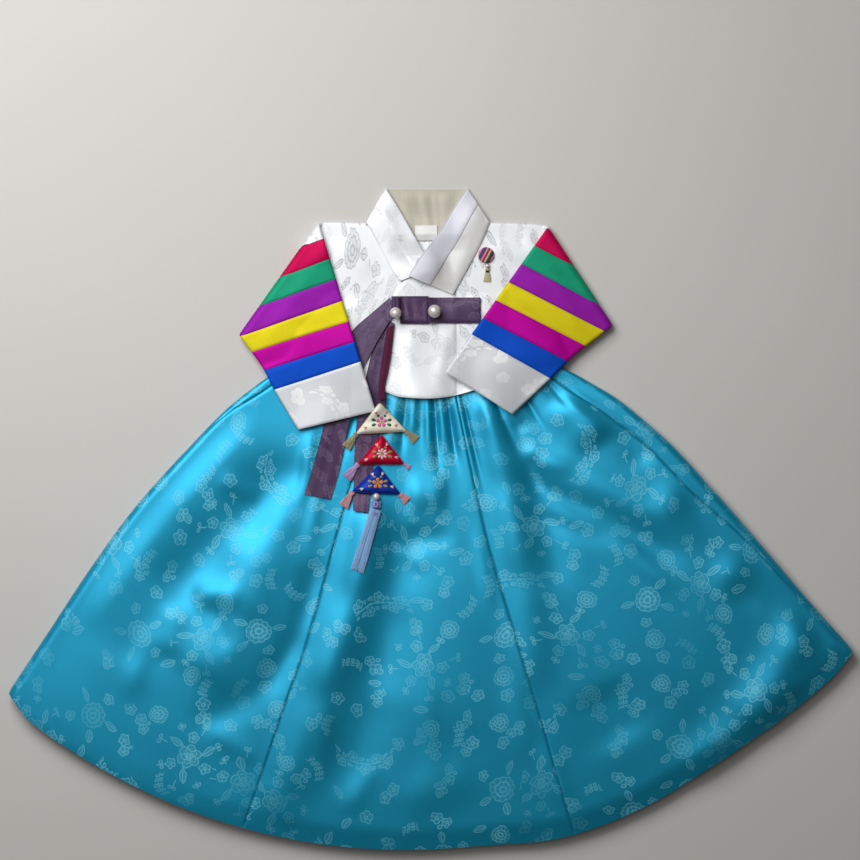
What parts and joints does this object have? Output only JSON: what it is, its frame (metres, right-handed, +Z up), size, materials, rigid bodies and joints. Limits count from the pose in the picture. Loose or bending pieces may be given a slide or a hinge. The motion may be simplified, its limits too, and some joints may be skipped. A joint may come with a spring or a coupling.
{
  "type": "child's hanbok",
  "caption": "Child's hanbok laid flat: gathered brocade skirt under a short wrap jacket with striped sleeves folded over the front, tied ribbon, charms and tassels.",
  "frame": {"origin": "centre of the bounding box's bottom, on the surface that the garment lies on", "axes": "+X across the garment, towards the side whose front lies on top; +Y from the hem to the neck; +Z up, out of the garment's front"},
  "size_m": [0.927, 0.726, 0.034],
  "materials": {
    "turquoise_brocade": "woven floral satin brocade, glossy, polyester",
    "white_brocade": "white floral satin jacquard, soft sheen",
    "cream_satin": "plain cream satin lining",
    "white_satin_trim": "plain white satin",
    "label_ribbon": "blank woven label",
    "red_satin": "plain satin",
    "green_satin": "plain satin",
    "purple_satin": "plain satin",
    "yellow_satin": "plain satin",
    "magenta_satin": "plain satin",
    "blue_satin": "plain satin",
    "plum_brocade": "dark purple jacquard ribbon cloth",
    "wine_satin": "plain wine-red satin",
    "pearl": "imitation pearl, glossy nacre lacquer",
    "waistband_cotton": "plain cotton",
    "cream_charm_satin": "embroidered satin over padding",
    "red_charm_satin": "embroidered satin over padding",
    "blue_charm_satin": "embroidered satin over padding",
    "olive_silk_tassel": "rayon tassel thread",
    "lilac_silk_tassel": "rayon tassel thread",
    "rose_silk_tassel": "rayon tassel thread",
    "pale_blue_silk_tassel": "rayon tassel thread",
    "lilac_cord_knot": "knotted rayon cord"
  },
  "bodies": {
    "root": {"skirt_front_centre": "turquoise_brocade", "skirt_front_left": "turquoise_brocade", "skirt_front_right": "turquoise_brocade", "skirt_back_left": "turquoise_brocade", "skirt_back_right": "turquoise_brocade", "skirt_waistband": "waistband_cotton", "jacket_half_under": "white_brocade", "jacket_half_over": "white_brocade", "jacket_overlap": "white_brocade", "collar_under": "white_brocade", "collar_over": "white_brocade", "collar_back": "cream_satin", "neck_label": "label_ribbon", "collar_trim_under": "white_satin_trim", "collar_trim_over": "white_satin_trim", "ribbon_long": "plum_brocade", "ribbon_short": "plum_brocade", "bow_near": "plum_brocade", "bow_far": "plum_brocade", "bow_knot": "plum_brocade", "ribbon_long_lining": "wine_satin", "pearl_left": "pearl", "pearl_right": "pearl", "charm_pearl": "pearl", "pin_disc": "wine_satin", "pin_bead": "pearl", "pin_tassel": "olive_silk_tassel", "sleeve_left_red": "red_satin", "sleeve_left_green": "green_satin", "sleeve_left_purple": "purple_satin", "sleeve_left_yellow": "yellow_satin", "sleeve_left_magenta": "magenta_satin", "sleeve_left_blue": "blue_satin", "sleeve_left_cuff": "white_brocade", "sleeve_right_red": "red_satin", "sleeve_right_green": "green_satin", "sleeve_right_purple": "purple_satin", "sleeve_right_yellow": "yellow_satin", "sleeve_right_magenta": "magenta_satin", "sleeve_right_blue": "blue_satin", "sleeve_right_cuff": "white_brocade", "charm_cream": "cream_charm_satin", "charm_red": "red_charm_satin", "charm_blue": "blue_charm_satin", "tassel_cream_left": "olive_silk_tassel", "tassel_lilac_left": "lilac_silk_tassel", "tassel_rose_left": "rose_silk_tassel", "tassel_cream_right": "olive_silk_tassel", "tassel_lilac_right": "lilac_silk_tassel", "tassel_rose_right": "rose_silk_tassel", "charm_knot": "lilac_cord_knot", "tassel_long": "pale_blue_silk_tassel"}
  },
  "joints": []
}
